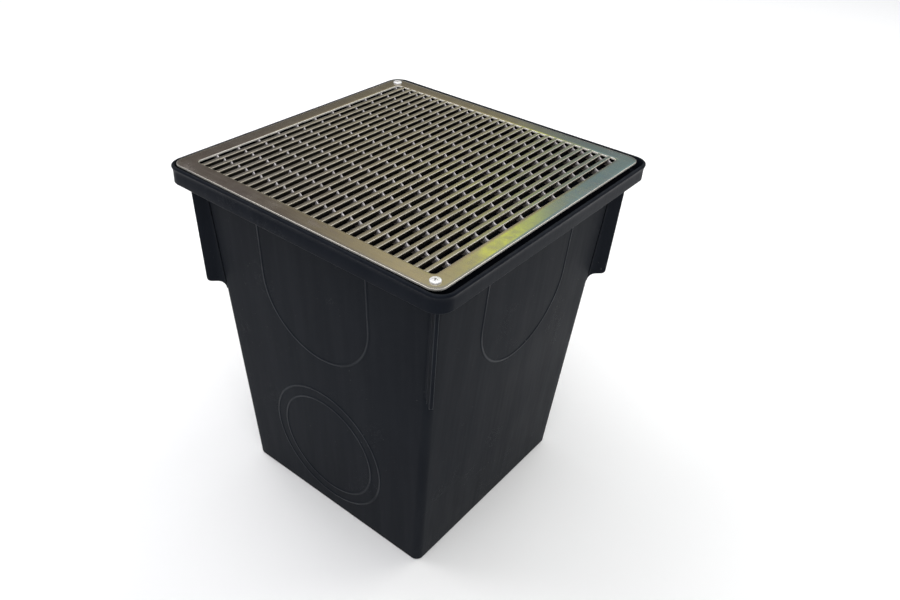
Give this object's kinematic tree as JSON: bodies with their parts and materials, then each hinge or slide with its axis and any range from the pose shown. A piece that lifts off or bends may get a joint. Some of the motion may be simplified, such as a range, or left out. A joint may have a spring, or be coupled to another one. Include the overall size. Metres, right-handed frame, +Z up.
{
  "type": "stormwater pit with drain grate",
  "caption": "Square tapered plastic stormwater pit, open at the top under a flat heel-safe steel grate of narrow parallel bars, screwed down at two opposite corners.",
  "frame": {"origin": "centre of the underside of the pit's base", "axes": "+Z up, towards the grate; the load bars run along Y and the support strips along X; the front side looks along -Y, the right side along +X"},
  "size_m": [0.323, 0.323, 0.3598],
  "materials": {
    "pit_plastic": "black polypropylene, satin, as moulded",
    "grate_steel": "stainless sheet, rolled finish",
    "bar_steel": "drawn stainless wire, brushed along its length",
    "strip_steel": "stainless strip, cut edges",
    "screw_steel": "bright steel pan heads"
  },
  "bodies": {
    "root": {"pit_body": "pit_plastic", "grate_border": "grate_steel", "screw_front": "screw_steel", "screw_rear": "screw_steel", "load_bar_01": "bar_steel", "load_bar_02": "bar_steel", "load_bar_03": "bar_steel", "load_bar_04": "bar_steel", "load_bar_05": "bar_steel", "load_bar_06": "bar_steel", "load_bar_07": "bar_steel", "load_bar_08": "bar_steel", "load_bar_09": "bar_steel", "load_bar_10": "bar_steel", "load_bar_11": "bar_steel", "load_bar_12": "bar_steel", "load_bar_13": "bar_steel", "load_bar_14": "bar_steel", "load_bar_15": "bar_steel", "load_bar_16": "bar_steel", "load_bar_17": "bar_steel", "load_bar_18": "bar_steel", "load_bar_19": "bar_steel", "load_bar_20": "bar_steel", "load_bar_21": "bar_steel", "load_bar_22": "bar_steel", "load_bar_23": "bar_steel", "load_bar_24": "bar_steel", "load_bar_25": "bar_steel", "load_bar_26": "bar_steel", "load_bar_27": "bar_steel", "support_strip_01": "strip_steel", "support_strip_02": "strip_steel", "support_strip_03": "strip_steel", "support_strip_04": "strip_steel", "support_strip_05": "strip_steel", "support_strip_06": "strip_steel", "support_strip_07": "strip_steel", "support_strip_08": "strip_steel", "support_strip_09": "strip_steel", "support_strip_10": "strip_steel", "support_strip_11": "strip_steel"}
  },
  "joints": []
}
